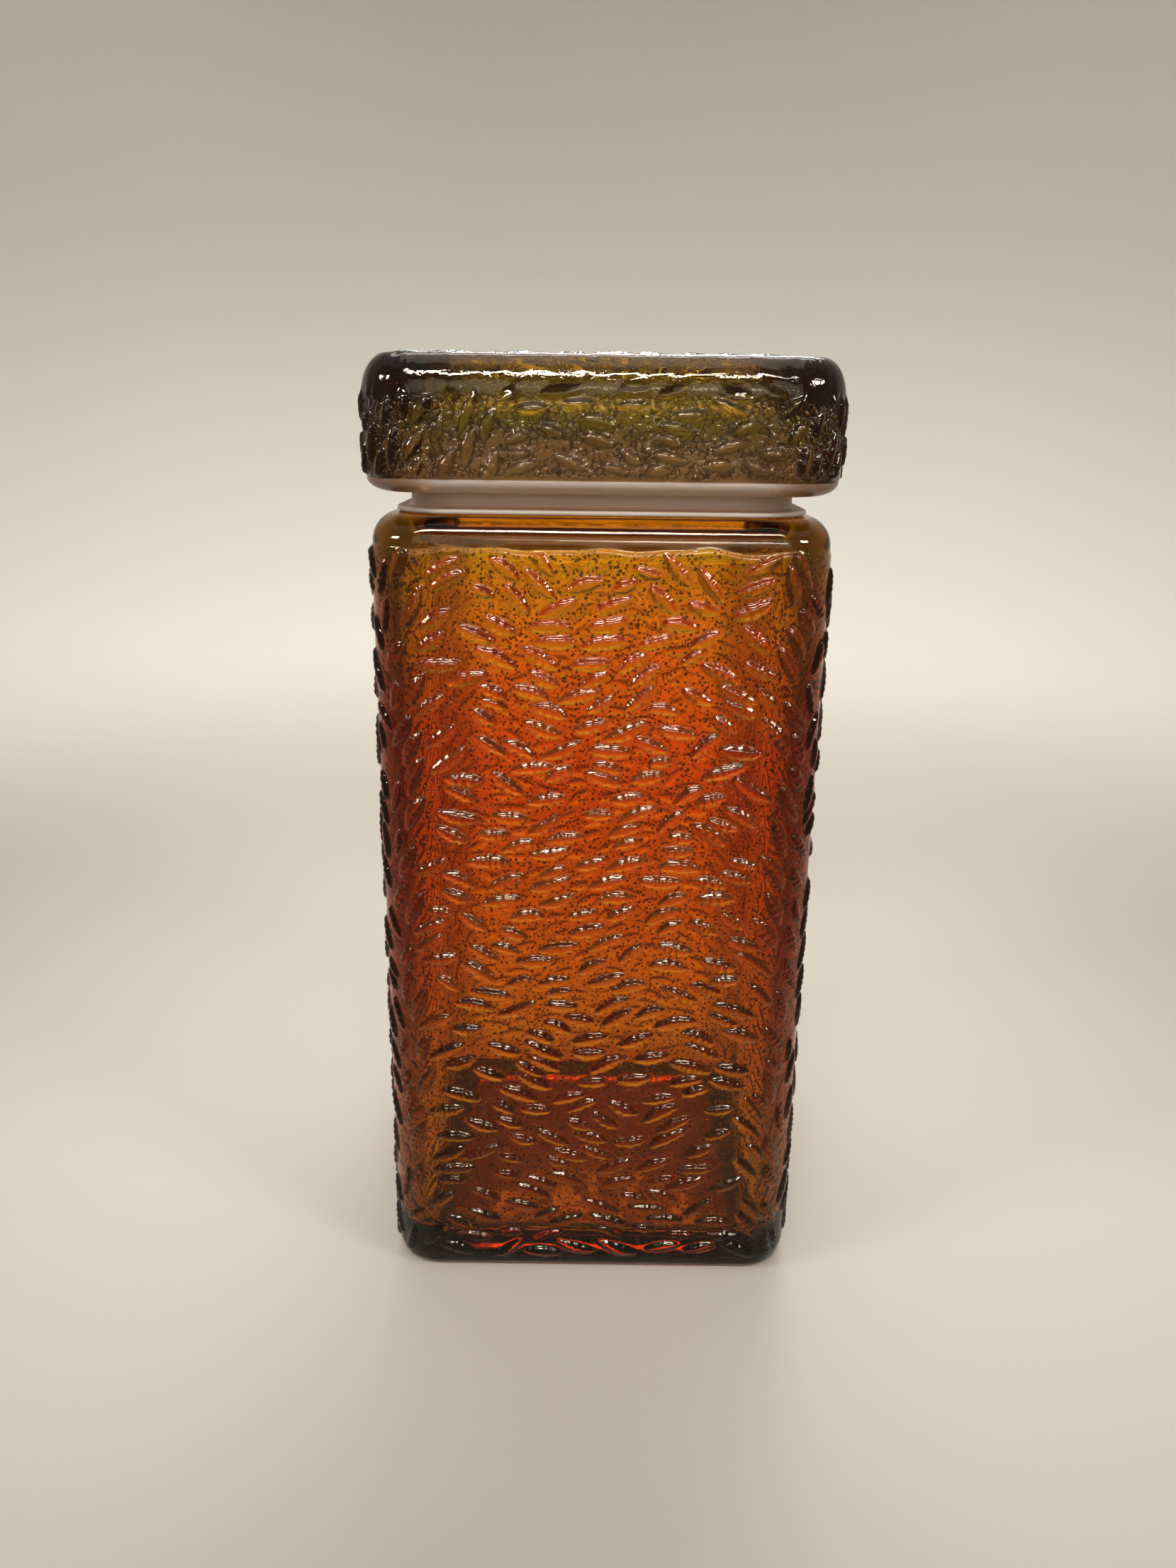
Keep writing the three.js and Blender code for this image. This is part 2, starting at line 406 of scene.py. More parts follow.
def maths(tree, operation, a, b, x, y):
    """One sum of two numbers or sockets."""
    made = node(tree, "ShaderNodeMath", x, y, operation=operation)
    for socket, value in zip(made.inputs, (a, b)):
        if isinstance(value, (int, float)):
            socket.default_value = value
        else:
            tree.links.new(value, socket)
    return made.outputs[0]


def height_colours(tree, spot, stops, wander, x, y):
    """A colour that changes with height through the stops (metres, colour), a little unevenly."""
    apart = node(tree, "ShaderNodeSeparateXYZ", x, y + 150)
    tree.links.new(spot, apart.inputs[0])
    cloud = node(tree, "ShaderNodeTexNoise", x, y - 50, Scale=28.0, Detail=3.0)
    tree.links.new(spot, cloud.inputs["Vector"])
    sway = node(tree, "ShaderNodeMapRange", x + 200, y - 50)
    tree.links.new(cloud.outputs["Fac"], sway.inputs["Value"])
    sway.inputs["To Min"].default_value = -wander
    sway.inputs["To Max"].default_value = wander
    level = maths(tree, "ADD", apart.outputs["Z"], sway.outputs["Result"], x + 400, y)
    low, high = stops[0][0], stops[-1][0]
    share = node(tree, "ShaderNodeMapRange", x + 600, y)
    tree.links.new(level, share.inputs["Value"])
    share.inputs["From Min"].default_value = low
    share.inputs["From Max"].default_value = high
    ramp = node(tree, "ShaderNodeValToRGB", x + 800, y)
    tree.links.new(share.outputs["Result"], ramp.inputs[0])
    elements = ramp.color_ramp.elements
    while len(elements) < len(stops):
        elements.new(0.5)
    for element, (height, colour) in zip(elements, stops):
        element.position = (height - low) / (high - low)
        element.color = (*colour, 1)
    return ramp.outputs[0]


def amber_glass(name, absorbed, density, stops, wander, high_flank, corner_shade, sheen, pebbled):
    """Amber glass with leaves on a stippled ground. absorbed is what it takes off per metre at that
    density, stops are painted light and shade by height, standing for what shows through the glass,
    and sheen tints what it reflects. The colours given for the leaves' up-facing sides and for the
    upright corners are painted shade. Where pebbled, the ground is set with small domes with painted
    shade in the lines between; otherwise it is smooth with small pits painted dark as shade."""
    made, tree, shader, out = material(name)
    place = node(tree, "ShaderNodeTexCoord", -2200, 0)
    spot = place.outputs["Object"]
    # painted light and shade: the colour of what shows through the glass, changing with height, on the
    # outer skin only
    painted_by_height = height_colours(tree, spot, stops, wander, -2000, 500)
    skin = node(tree, "ShaderNodeAttribute", -1100, 700, attribute_name="skin")
    painted_skin_colour = blend_colour(tree, skin.outputs["Fac"], (1, 1, 1), painted_by_height, -900, 650)
    ground = node(tree, "ShaderNodeAttribute", -1400, -850, attribute_name="ground")
    flank = node(tree, "ShaderNodeAttribute", -1400, 250, attribute_name="flank")

    warp = node(tree, "ShaderNodeTexNoise", -1900, -300, Scale=420.0, Detail=1.0)
    tree.links.new(spot, warp.inputs["Vector"])
    nudge = node(tree, "ShaderNodeVectorMath", -1700, -300, operation="MULTIPLY_ADD")
    tree.links.new(warp.outputs["Color"], nudge.inputs[0])
    nudge.inputs[1].default_value = (0.0016, 0.0016, 0.0016)
    tree.links.new(spot, nudge.inputs[2])
    if pebbled:
        cells = node(
            tree, "ShaderNodeTexVoronoi", -1400, -300, feature="DISTANCE_TO_EDGE", Scale=600.0
        )
        tree.links.new(nudge.outputs[0], cells.inputs["Vector"])
        domes = ramp_of(tree, cells.outputs["Distance"], 0.0, 0.32, -1100, -300)
        seams = ramp_of(tree, cells.outputs["Distance"], 0.17, 0.07, -1100, -500)
        breaks = node(tree, "ShaderNodeTexNoise", -1400, -600, Scale=520.0, Detail=1.0)
        tree.links.new(spot, breaks.inputs["Vector"])
        unbroken = ramp_of(tree, breaks.outputs["Fac"], 0.38, 0.52, -1100, -650)
        holes = maths(tree, "MULTIPLY", seams, unbroken, -1000, -500)
    else:
        cells = node(tree, "ShaderNodeTexVoronoi", -1400, -300, feature="F1", Scale=820.0)
        tree.links.new(nudge.outputs[0], cells.inputs["Vector"])
        domes = ramp_of(tree, cells.outputs["Distance"], 0.0, 0.36, -1100, -300)
        holes = ramp_of(tree, cells.outputs["Distance"], 0.36, 0.27, -1100, -500)
    pits = maths(tree, "MULTIPLY", holes, ground.outputs["Fac"], -900, -500)
    # painted shade on the leaves' up-facing sides and painted light on their down-facing rims, from the
    # flank mark
    up_side = ramp_of(tree, flank.outputs["Fac"], 0.0, 1.0, -1100, 250)
    down_side = ramp_of(tree, flank.outputs["Fac"], 0.0, -1.0, -1100, 50)
    shaded = maths(tree, "MULTIPLY", up_side, 0.8, -900, 250)
    lit = maths(tree, "MULTIPLY", down_side, 0.95, -900, 50)
    # painted light: pale yellow on the down-facing rims
    with_rims = blend_colour(tree, lit, painted_skin_colour, (1.0, 1.0, 0.30), -600, 400)
    apart = node(tree, "ShaderNodeSeparateXYZ", -1400, 900)
    tree.links.new(spot, apart.inputs[0])
    # painted shade colour: near black low on the glass, turning to the given high colour above
    redder = ramp_of(tree, apart.outputs["Z"], 0.165, 0.200, -1100, 900)
    flank_colour = blend_colour(tree, redder, (0.07, 0.05, 0.05), high_flank, -800, 800)
    with_flanks = blend_colour(tree, shaded, with_rims, flank_colour, -400, 300)
    # painted shade round the upright corners
    corner = node(tree, "ShaderNodeAttribute", -1100, 1100, attribute_name="corner")
    shaded_corners = blend_colour(tree, corner.outputs["Fac"], (1, 1, 1), corner_shade, -800, 1100)
    deepened = node(tree, "ShaderNodeMix", -200, 500, data_type="RGBA", blend_type="MULTIPLY")
    deepened.inputs[0].default_value = 1.0
    tree.links.new(with_flanks, deepened.inputs[6])
    tree.links.new(shaded_corners, deepened.inputs[7])
    # painted shade: the pits and the lines between the pebbles darkened almost to black
    dark = maths(tree, "MULTIPLY", pits, 0.9 if pebbled else 0.95, -600, -100)
    dotted = blend_colour(tree, dark, deepened.outputs[2], (0.015, 0.006, 0.004), 0, 150)
    tree.links.new(dotted, shader.inputs["Base Color"])

    shader.inputs["Transmission Weight"].default_value = 1.0
    shader.inputs["IOR"].default_value = 1.5
    shader.inputs["Specular Tint"].default_value = (*sheen, 1)
    smear = node(tree, "ShaderNodeTexNoise", -600, -200, Scale=90.0, Detail=4.0)
    tree.links.new(spot, smear.inputs["Vector"])
    gloss = node(tree, "ShaderNodeMapRange", -300, -150)
    tree.links.new(smear.outputs["Fac"], gloss.inputs["Value"])
    gloss.inputs["To Min"].default_value = 0.0
    gloss.inputs["To Max"].default_value = 0.05
    grainy = 0.05 if pebbled else 0.03
    rough_ground = maths(tree, "MULTIPLY", ground.outputs["Fac"], grainy, -300, -350)
    matt = maths(tree, "ADD", gloss.outputs["Result"], rough_ground, 100, -200)
    if pebbled:
        band = ramp_of(tree, apart.outputs["Z"], 0.23385, 0.23345, -300, -900)
        haze = maths(tree, "MULTIPLY", band, 0.30, -100, -900)
        matt = maths(tree, "ADD", matt, haze, 200, -300)
        clear = maths(tree, "MULTIPLY_ADD", band, -0.35, 300, -900)
        clear.node.inputs[2].default_value = 1.0
        tree.links.new(clear, shader.inputs["Transmission Weight"])
    tree.links.new(matt, shader.inputs["Roughness"])

    ripple = node(tree, "ShaderNodeTexNoise", -600, -1050, Scale=55.0, Detail=2.0)
    tree.links.new(spot, ripple.inputs["Vector"])
    soft = node(tree, "ShaderNodeBump", 100, -700, Strength=0.25, Distance=0.0008)
    tree.links.new(ripple.outputs["Fac"], soft.inputs["Height"])
    kept = maths(tree, "MULTIPLY", domes, ground.outputs["Fac"], -900, -700)
    rough = maths(tree, "SUBTRACT", kept if pebbled else 0.0, pits, -300, -500)
    deep = 0.00015 if pebbled else 0.00012
    bump = node(tree, "ShaderNodeBump", 300, -500, Strength=1.0, Distance=deep)
    tree.links.new(rough, bump.inputs["Height"])
    tree.links.new(soft.outputs["Normal"], bump.inputs["Normal"])
    tree.links.new(bump.outputs["Normal"], shader.inputs["Normal"])

    volume = node(tree, "ShaderNodeVolumeAbsorption", 600, -400)
    volume.inputs["Color"].default_value = (*[1 - a / density for a in absorbed], 1)
    volume.inputs["Density"].default_value = density
    tree.links.new(volume.outputs[0], out.inputs["Volume"])
    return made


def frosted_plastic(name):
    """Translucent polyethylene with a fine matt grain."""
    made, tree, shader, out = material(name)
    place = node(tree, "ShaderNodeTexCoord", -1000, 0)
    spot = place.outputs["Object"]
    cloud = node(tree, "ShaderNodeTexNoise", -800, 200, Scale=45.0, Detail=4.0)
    tree.links.new(spot, cloud.inputs["Vector"])
    colour = blend_colour(
        tree, cloud.outputs["Fac"], (0.77, 0.60, 0.48), (0.84, 0.68, 0.57), -500, 200
    )
    tree.links.new(colour, shader.inputs["Base Color"])
    shader.inputs["Transmission Weight"].default_value = 0.52
    shader.inputs["IOR"].default_value = 1.5
    shader.inputs["Subsurface Weight"].default_value = 0.25
    shader.inputs["Subsurface Radius"].default_value = (0.004, 0.003, 0.003)
    shader.inputs["Subsurface Scale"].default_value = 1.0
    grain = node(tree, "ShaderNodeTexNoise", -800, -200, Scale=900.0, Detail=3.0)
    tree.links.new(spot, grain.inputs["Vector"])
    haze = node(tree, "ShaderNodeMapRange", -500, -150)
    tree.links.new(grain.outputs["Fac"], haze.inputs["Value"])
    haze.inputs["To Min"].default_value = 0.32
    haze.inputs["To Max"].default_value = 0.52
    tree.links.new(haze.outputs["Result"], shader.inputs["Roughness"])
    bump = node(tree, "ShaderNodeBump", 300, -300, Strength=0.4, Distance=0.00006)
    tree.links.new(grain.outputs["Fac"], bump.inputs["Height"])
    tree.links.new(bump.outputs["Normal"], shader.inputs["Normal"])
    return made


def pale_floor(name):
    """Matt paint: a soft grey under the jar that pales outwards and up the wall."""
    made, tree, shader, out = material(name)
    place = node(tree, "ShaderNodeTexCoord", -1000, 0)
    cloud = node(tree, "ShaderNodeTexNoise", -800, 0, Scale=3.0, Detail=5.0)
    tree.links.new(place.outputs["Object"], cloud.inputs["Vector"])
    away = node(tree, "ShaderNodeVectorMath", -800, 200, operation="LENGTH")
    tree.links.new(place.outputs["Object"], away.inputs[0])
    paler = ramp_of(tree, away.outputs["Value"], 0.30, 1.10, -600, 200)
    floor = blend_colour(
        tree, cloud.outputs["Fac"], (0.42, 0.385, 0.325), (0.46, 0.42, 0.36), -500, 0
    )
    wall = blend_colour(
        tree, cloud.outputs["Fac"], (0.70, 0.67, 0.61), (0.74, 0.71, 0.65), -500, -200
    )
    tree.links.new(blend_colour(tree, paler, floor, wall, -200, 0), shader.inputs["Base Color"])
    shader.inputs["Roughness"].default_value = 0.75
    return made


body_glass = amber_glass(
    "amber_body_glass",
    absorbed=(24.0, 86.0, 460.0),
    density=600.0,
    # painted light and shade seen through the glass, by height: orange low down, red-orange in the
    # middle, olive-gold at the top of the panel, pale gold on the shoulder
    stops=(
        (0.000, (1.0, 0.62, 0.20)),
        (0.035, (1.0, 0.50, 0.12)),
        (0.110, (1.0, 0.20, 0.05)),
        (0.165, (1.0, 0.19, 0.05)),
        (0.203, (0.92, 0.50, 0.05)),
        (0.216, (0.84, 0.66, 0.06)),
        (0.219, (1.0, 0.95, 0.40)),
        (0.225, (1.0, 0.92, 0.36)),
        (0.231, (1.0, 0.66, 0.16)),
    ),
    wander=0.022,
    high_flank=(0.62, 0.08, 0.02),
    corner_shade=(0.36, 0.42, 0.24),
    sheen=(1.0, 0.87, 0.66),
    pebbled=False,
)
lid_glass = amber_glass(
    "amber_lid_glass",
    absorbed=(16.0, 30.0, 72.0),
    density=600.0,
    # painted light and shade seen through the lid, by height: pale low down where the seal shows
    # through, olive above, a bright line, then dark olive to dark over the top
    stops=(
        (0.2334, (1.0, 0.88, 0.84)),
        (0.2340, (1.0, 0.88, 0.84)),
        (0.2425, (1.0, 0.89, 0.88)),
        (0.2475, (0.80, 0.88, 0.14)),
        (0.2510, (0.95, 0.95, 0.20)),
        (0.2516, (1.0, 1.0, 0.50)),
        (0.2521, (0.28, 0.30, 0.02)),
        (0.2570, (0.22, 0.22, 0.02)),
        (0.2600, (0.12, 0.08, 0.02)),
    ),
    wander=0.0009,
    high_flank=(0.10, 0.06, 0.06),
    corner_shade=(0.44, 0.33, 0.24),
    sheen=(1.0, 0.86, 0.68),
    pebbled=True,
)
seal_plastic = frosted_plastic("frosted_seal_plastic")


# ---------------------------------------------------------------- jar body
GROUND_RISE = 0.35  # the patterned ground over the plain glass


def make_body():
    """The jar: foot, patterned walls, shoulder and neck outside, then down the inside to the floor."""
    columns = Columns(BODY_HALF, BODY_CORNER, GRID)
    plain = BODY_HALF - 0.5
    inner = BODY_HALF - BODY_WALL
    neck_inner = NECK_HALF - NECK_WALL
    rim = NECK_WALL / 2
    foot_edge = on_body(plain - 4.2, 0)
    foot_top = on_body(plain, 4.5)
    shoulder = on_body(plain, PANEL_HIGH + 1.2)
    ledge_edge = on_neck(LEDGE_HALF, LEDGE)
    neck_root = on_neck(NECK_HALF, LEDGE + 1.0)
    neck_root_out = on_neck(NECK_HALF + 1.0, LEDGE)
    rim_out = on_neck(NECK_HALF, NECK_TOP - rim)
    rim_top = on_neck(NECK_HALF - rim, NECK_TOP)
    rim_in = on_neck(neck_inner, NECK_TOP - rim)
    inner_ledge = LEDGE - BODY_WALL
    inner_neck = on_neck(neck_inner, inner_ledge + 2.0)
    inner_ledge_in = on_neck(neck_inner + 2.0, inner_ledge)
    inner_ledge_out = on_neck(LEDGE_HALF - BODY_WALL, inner_ledge)
    inner_wall_top = on_inside(inner, LEDGE - 3 * BODY_WALL)
    inner_wall_low = on_inside(inner, 16.0)
    floor_edge = on_inside(inner - 8.0, 8.0)

    levels = [(0.6, 1.2, 0.3)]
    levels += run(levels[-1], (41.0, 1.2, 6.75), 12.0)
    levels += run(levels[-1], (44.0, 0.0, 6.75), 1.5)
    levels += run(levels[-1], foot_edge, 4.0)
    levels += quarter(foot_edge, foot_top, "level")
    levels += run(foot_top, shoulder, GRID)
    levels += quarter(shoulder, ledge_edge, "upright", 12)
    levels += run(ledge_edge, neck_root_out, 1.5)
    levels += quarter(neck_root_out, neck_root, "level", 4)
    levels += run(neck_root, rim_out, 6.0)
    levels += quarter(rim_out, rim_top, "upright", 5)
    levels += quarter(rim_top, rim_in, "level", 5)
    levels += run(rim_in, inner_neck, 6.0)
    levels += quarter(inner_neck, inner_ledge_in, "upright", 5)
    levels += run(inner_ledge_in, inner_ledge_out, 1.5)
    levels += quarter(inner_ledge_out, inner_wall_top, "level", 9)
    levels += run(inner_wall_top, inner_wall_low, 6.0)
    levels += quarter(inner_wall_low, floor_edge, "upright", 9)
    levels += run(floor_edge, (0.6, 9.4, 0.3), 4.0)

    halves = np.array(levels)[:, 0]
    heights = np.array(levels)[:, 1]
    outer = np.zeros(len(levels), bool)
    last_outer = int(np.argmax(heights >= LEDGE - 0.01))
    outer[:last_outer] = True
    outer &= halves > plain - 6.0

    tilt = tilt_on(columns.length, BODY_CORNER, math.radians(30), math.radians(66))

    def size(attempt):
        shrink = 0.93**attempt
        return (
            chance.uniform(4.8, 6.3) * shrink,
            chance.uniform(1.55, 2.0) * (0.5 + 0.5 * shrink),
            chance.uniform(0.85, 1.08),
        )

    leaves = scatter(
        columns.length, 6.0, 215.0, 12.8, 4.75, tilt, size, 2.75, wrap=columns.length
    )
    raised = press(leaves, columns.around, heights, wrap=columns.length)
    facing, _ = flanks(leaves, columns.around, heights, wrap=columns.length)
    wobble = 0.55 * drift(columns.around, 0 * columns.around, 9.0)
    top_edge = smooth_step(PANEL_HIGH + 0.8, PANEL_HIGH - 0.5, heights[:, None] - wobble[None])
    low_edge = smooth_step(PANEL_LOW - 1.2, PANEL_LOW + 0.6, heights[:, None] + 0.6 * wobble[None])
    panel = top_edge * low_edge * outer[:, None]
    lift = panel * (GROUND_RISE + raised)
    leafy = smooth_step(0.05, 0.3, raised)
    outside = np.repeat(heights[:, None], columns.count, 1)
    outside[last_outer:] = 0  # the inner skin gets no painted light or shade
    marks = {
        "skin": (outside > 0).astype(float),
        "ground": panel * (1 - leafy),
        # painted shade on up-facing leaf sides, painted light on down-facing rims
        "flank": panel * facing,
        # painted shade round the upright corners, fading out near the foot
        "corner": corner_marks(columns, BODY_CORNER, len(levels))
        * (outside > 0)
        * smooth_step(1.0, 14.0, outside),
    }
    body = closed_mesh("body_glass_shell", columns, levels, lift=lift, marks=marks)
    body.data.materials.append(body_glass)
    return body


body = make_body()
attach(body, "body")
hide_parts("jar_body")


# ---------------------------------------------------------------- lid
def side_place(x, length, corner):
    """Where x lies on its own face: 0 at the face's middle, growing round the piece."""
    arc = corner * math.pi / 2
    return (x - arc) % (length / 4) - (length / 4 - arc) / 2


def make_lid():
    """A cap with a hollow under its top, a seat for the seal, and leaves on its sides and top."""
    columns = Columns(LID_HALF, LID_CORNER, GRID)
    plain = LID_HALF - 0.5
    seat = SEAL_TOP + 0.3
    ceiling = LID_TOP - 5.5
    ceiling_edge = on_neck(42.5, ceiling)
    hollow_top = on_neck(45.5, ceiling - 3.0)
    seat_in = on_neck(45.5, seat)
    seat_edge = on_neck(49.5, seat)
    recess_top = on_neck(51.5, seat - 2.0)
    mouth_in = on_neck(51.5, LID_LOW + 1.5)
    mouth_under = on_neck(53.0, LID_LOW)
    foot_under = on_lid(plain - 6.4, LID_LOW)
    foot_top = on_lid(plain, LID_LOW + 3.6)
    edge_start = on_lid(plain, LID_TOP - 9.6)
    edge_end = on_lid(plain - 6.3, LID_TOP - 0.6)

    levels = [(0.6, ceiling, 0.3)]
    levels += run(levels[-1], ceiling_edge, 6.0)
    levels += quarter(ceiling_edge, hollow_top, "level", 6)
    levels += run(hollow_top, seat_in, 2.0)
    levels += run(seat_in, seat_edge, 2.0)
    levels += quarter(seat_edge, recess_top, "level", 5)
    levels += run(recess_top, mouth_in, 4.0)
    levels += quarter(mouth_in, mouth_under, "upright", 5)
    levels += run(mouth_under, foot_under, 1.0)
    levels += quarter(foot_under, foot_top, "level", 9)
    first_side = len(levels)
    levels += run(foot_top, edge_start, GRID)
    levels += quarter(edge_start, edge_end, "upright", 20)
    first_top = len(levels)
    levels += run(edge_end, (0.6, LID_TOP, 0.3), 0.9)

    table = np.array(levels)
    crown = table[first_top:, 0] / edge_end[0]
    table[first_top:, 1] = LID_TOP - 0.6 * crown**4  # nearly level, dipping towards the edge
    steps = np.linalg.norm(np.diff(table[:, :2], axis=0), axis=1)
    along = np.concatenate([[0], np.cumsum(steps)])
    height = along - along[first_side] + table[first_side, 1]

    def tilt(x, y):
        share, side = corner_share(x, columns.length, LID_CORNER)
        left = smooth_step(-14, -34, side_place(x, columns.length, LID_CORNER))
        lean = math.radians(18) * math.tanh(2 * drift(x, y, 18.0)) + chance.gauss(0, 0.2)
        upright = math.radians(76) + chance.gauss(0, 0.16)
        bend = min(1.0, 2.2 * share)
        return (lean * (1 - left) + upright * left) * (1 - bend) + upright * bend

    def size(attempt):
        shrink = 0.93**attempt
        return (
            chance.uniform(3.9, 5.6) * shrink,
            chance.uniform(1.5, 2.0) * (0.5 + 0.5 * shrink),
            chance.uniform(0.95, 1.25),
        )

    side_leaves = scatter(
        columns.length, 234.5, 266.5, 9.0, 4.7, tilt, size, 2.7, wrap=columns.length
    )
    for leaf in side_leaves:
        leaf.rib_depth *= 0.5  # smoother leaves than the body's, for wider highlights
    raised = press(side_leaves, columns.around, height, wrap=columns.length)
    facing, outlines = flanks(side_leaves, columns.around, height, wrap=columns.length)
    # painted shade along the leaf outlines on the lower lid, and on up-facing sides above
    low_part = smooth_step(251.5, 249.5, height)[:, None]
    facing = outlines * low_part + np.clip(facing, 0, 1) * (1 - low_part)

    def top_tilt(x, y):
        return math.radians(40) * math.tanh(1.9 * drift(x + 40, y, 24.0)) + chance.gauss(0, 0.2)

    def top_size(attempt):
        long_half, wide_half, high = size(attempt)
        return long_half * 1.1, wide_half, high * 0.5

    top_leaves = scatter(100.0, -49.0, 49.0, 12.4, 5.0, top_tilt, top_size, 2.8, left=-52.0)
    top_rows = np.arange(first_top, len(levels))
    top_in = np.zeros(len(levels))
    top_in[first_top:] = smooth_step(edge_end[0] + 0.5, edge_end[0] - 3.0, table[first_top:, 0])
    for row in top_rows:
        places = columns.at(table[row, 0], table[row, 2])
        flat = np.zeros(columns.count)
        for leaf in top_leaves:
            dx, dy = places[:, 0] - leaf.x, places[:, 1] - leaf.y
            near = (np.abs(dx) < 7.5) & (np.abs(dy) < 7.5)
            if near.any():
                flat[near] = np.maximum(flat[near], leaf.rise(dx[near], dy[near]))
        raised[row] = flat * top_in[row]
    rows = np.arange(len(levels))[:, None]
    wobble = 0.3 * drift(columns.around, 0 * columns.around, 9.0)
    panel = smooth_step(233.9, 235.0, height[:, None] + wobble[None]) * (rows >= first_side)
    top_fade = 1 - 0.9 * smooth_step(252.0, 255.5, height)[:, None]
    top_fade = np.maximum(top_fade, top_in[:, None])
    lift = panel * (GROUND_RISE + raised * top_fade)
    leafy = smooth_step(0.05, 0.3, raised)
    stipple_fade = (1 - 0.94 * smooth_step(250.8, 254.0, height)) * (1 - top_in) + 0.6 * top_in
    stipple = panel * (1 - 0.88 * leafy) * stipple_fade[:, None]
    # a thin ring round each leaf on the top, for painted shade
    hem = smooth_step(0.02, 0.12, raised) * smooth_step(0.42, 0.24, raised)
    facing[first_top:] = 0
    marks = {
        "skin": (rows >= first_side - 9) + 0 * raised,
        "ground": stipple,
        # painted shade only, fading out near the top edge
        "flank": panel * facing * smooth_step(259.0, 256.5, height)[:, None]
        + 0.8 * hem * top_in[:, None],
        # painted shade round the lid's upright corners
        "corner": corner_marks(columns, LID_CORNER, len(levels)) * (rows >= first_side - 9),
    }
    lid = closed_mesh("lid_glass_cap", columns, table, lift=lift, marks=marks)
    lid.data.materials.append(lid_glass)
    return lid


lid = make_lid()
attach(lid, "cap")
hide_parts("lid")


# ---------------------------------------------------------------- seal
def make_seal():
    """A soft ring over the neck: flange, ribbed wall, a top over the rim and a short skirt inside."""
    gap, wall = 0.3, 1.15
    bottom = LEDGE + gap
    inner = NECK_HALF + gap
    outer = inner + wall
    under_top = NECK_TOP + gap
    top = SEAL_TOP
    skirt_outer = NECK_HALF - NECK_WALL - gap
    skirt_inner = skirt_outer - wall
    flange_top = bottom + 1.4
    columns = Columns(outer, NECK_CORNER + outer - NECK_HALF, 1.6)
    under_edge = on_neck(SEAL_FLANGE_HALF - 0.7, bottom)
    flange_mid = on_neck(SEAL_FLANGE_HALF, bottom + 0.7)
    wall_root = on_neck(outer, flange_top + 0.9)
    flange_root = on_neck(outer + 0.9, flange_top)
    top_outer = on_neck(outer, top - 1.5)
    top_inner = on_neck(skirt_inner, top - 1.5)
    crest_in = on_neck(skirt_inner + 1.5, top)
    levels = [on_neck(outer, bottom), under_edge]
    levels += quarter(under_edge, flange_mid, "level", 4)
    levels += quarter(flange_mid, on_neck(SEAL_FLANGE_HALF - 0.7, flange_top), "upright", 4)
    levels += run(levels[-1], flange_root, 1.2)
    levels += quarter(flange_root, wall_root, "level", 5)
    for z in SEAL_RIBS:
        levels += [on_neck(outer, z - 0.8)]
        levels += quarter(levels[-1], on_neck(outer + 0.7, z), "upright", 4)
        levels += quarter(levels[-1], on_neck(outer, z + 0.8), "level", 4)
    levels += [top_outer]
    levels += quarter(top_outer, on_neck(outer - 1.5, top), "upright", 5)
    levels += [crest_in]
    levels += quarter(crest_in, top_inner, "level", 5)
    levels += [
        on_neck(skirt_inner, 244.0),
        on_neck(skirt_inner + 0.4, 243.5),
        on_neck(skirt_outer - 0.3, 243.5),
        on_neck(skirt_outer, 243.9),
        on_neck(skirt_outer, under_top),
        on_neck(inner, under_top),
        on_neck(inner, bottom + wall),
    ]
    seal = closed_mesh("frosted_neck_seal", columns, levels, closed_loop=True)
    seal.data.materials.append(seal_plastic)
    return seal


seal = make_seal()
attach(seal, "seal")
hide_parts("neck_seal")


# ---------------------------------------------------------------- stage, lights and camera
def make_stage():
    """A round pale sweep: a level floor that curves up into a wall on every side."""
    around = 96
    profile = [(0.0, 0.0), (0.9, 0.0)]
    for step in range(1, 13):
        angle = step / 12 * math.pi / 2
        profile.append((0.9 + 0.5 * math.sin(angle), 0.5 * (1 - math.cos(angle))))
    profile.append((1.4, 1.6))
    vertices = [(0, 0, 0)]
    for radius, z in profile[1:]:
        for step in range(around):
            angle = step / around * 2 * math.pi
            vertices.append((radius * math.cos(angle), radius * math.sin(angle), z))
    faces = [(0, 1 + step, 1 + (step + 1) % around) for step in range(around)]
    for row in range(len(profile) - 2):
        first, second = 1 + row * around, 1 + (row + 1) * around
        for step in range(around):
            after = (step + 1) % around
            faces.append((first + step, second + step, second + after, first + after))
    mesh = bpy.data.meshes.new("pale_sweep")
    mesh.from_pydata(vertices, [], faces)
    mesh.shade_smooth()
    sweep = bpy.data.objects.new("pale_sweep", mesh)
    bpy.context.scene.collection.objects.link(sweep)
    sweep.data.materials.append(pale_floor("pale_sweep_paint"))


def soft_light(name, place, aim, width, depth, watts, colour, spread=180.0):
    """A rectangular lamp in a grid that lets its light fan out over the spread, in degrees."""
    lamp = bpy.data.lights.new(name, "AREA")
    lamp.shape = "RECTANGLE"
    lamp.size, lamp.size_y = width, depth
    lamp.energy = watts
    lamp.color = colour
    lamp.spread = math.radians(spread)
    made = bpy.data.objects.new(name, lamp)
    made.location = place
    made.rotation_euler = (Vector(aim) - Vector(place)).to_track_quat("-Z", "Y").to_euler()
    bpy.context.scene.collection.objects.link(made)


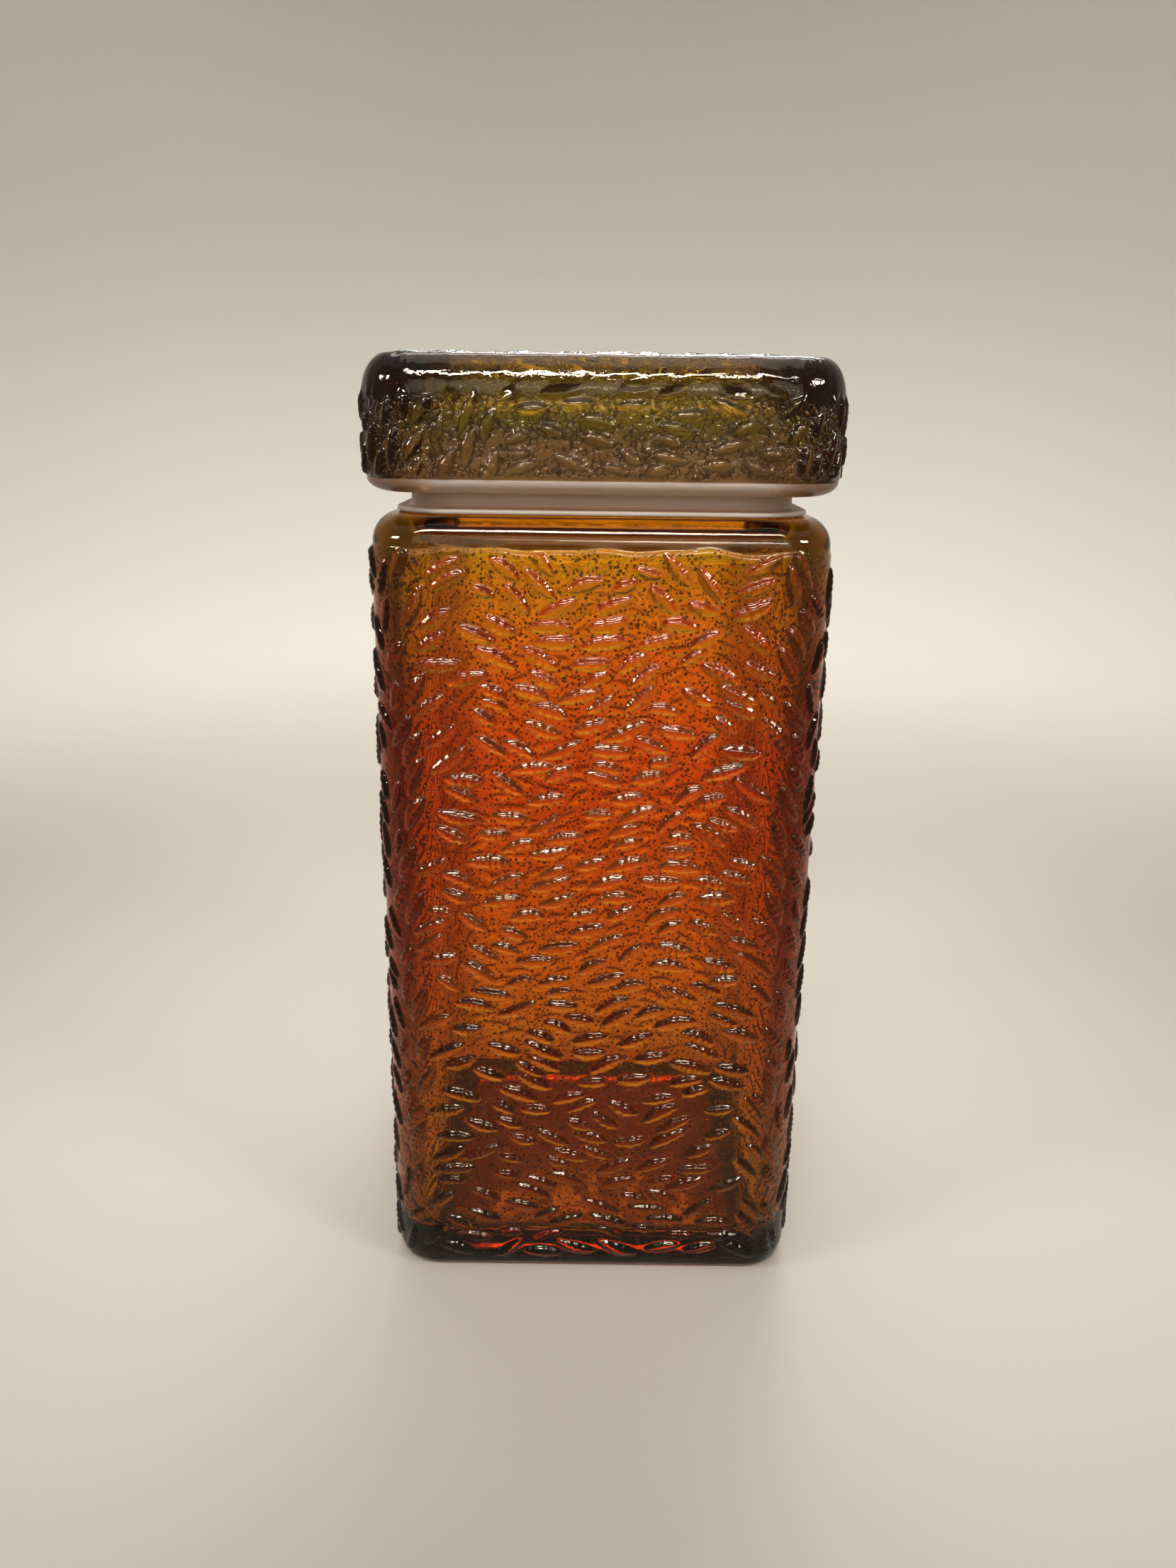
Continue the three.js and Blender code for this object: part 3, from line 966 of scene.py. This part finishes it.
make_stage()
cool, warm = (0.92, 0.96, 1.0), (1.0, 0.98, 0.95)
soft_light("window", (-0.06, -0.66, 0.80), (0, 0, 0.14), 0.62, 0.09, 0.42, cool, spread=40.0)
soft_light("low_window", (0.08, -0.92, 0.42), (0, 0, 0.04), 0.50, 0.10, 0.10, cool, spread=24.0)
soft_light("right_window", (0.72, -0.52, 0.66), (0, 0, 0.14), 0.30, 0.14, 0.22, cool, spread=40.0)
soft_light("left_window", (-0.80, -0.40, 0.60), (0, 0, 0.14), 0.30, 0.14, 0.22, cool, spread=40.0)
soft_light("front_fill", (0.0, -1.15, 0.50), (0, 0, 0.16), 0.9, 0.5, 0.26, warm, spread=60.0)
soft_light("rear_window", (0.10, 0.80, 0.75), (0, 0, 0.14), 0.60, 0.10, 0.28, cool, spread=40.0)
soft_light("back_wash", (0.0, 0.70, 1.20), (0, 0.70, 0.0), 1.2, 0.5, 4.2, warm, spread=100.0)
soft_light("overhead", (0.0, 0.0, 1.50), (0, 0, 0.0), 1.0, 1.0, 3.5, warm)

world = bpy.data.worlds.new("studio_air")
world.use_nodes = True
world.node_tree.nodes["Background"].inputs["Color"].default_value = (0.95, 0.97, 1.0, 1)
world.node_tree.nodes["Background"].inputs["Strength"].default_value = 0.52
scene = bpy.context.scene
scene.world = world

PITCH = math.radians(17.55)
ROLL = 0.0129
camera_data = bpy.data.cameras.new("camera")
camera_data.sensor_width = 36.0
camera_data.lens = 36.0 * 1661 / 2212
camera_data.clip_start = 0.01
camera = bpy.data.objects.new("camera", camera_data)
scene.collection.objects.link(camera)
look = Vector((0, math.cos(PITCH), -math.sin(PITCH)))
side = Vector((1, 0, 0))
above = side.cross(look)
side, above = (
    side * math.cos(ROLL) + above * math.sin(ROLL),
    above * math.cos(ROLL) - side * math.sin(ROLL),
)
turn = Matrix((side, above, -look)).transposed()
camera.matrix_world = Matrix.Translation((-0.0027, -0.358, 0.250)) @ turn.to_4x4()
scene.camera = camera

scene.cycles.max_bounces = 24
scene.cycles.transmission_bounces = 20
scene.cycles.glossy_bounces = 8
scene.cycles.transparent_max_bounces = 16
scene.cycles.caustics_reflective = False
scene.cycles.caustics_refractive = True
scene.cycles.blur_glossy = 0.5
scene.cycles.sample_clamp_indirect = 2.0
scene.cycles.use_denoising = True
scene.view_settings.view_transform = "Standard"
scene.view_settings.exposure = 0.18
scene.view_settings.gamma = 0.88
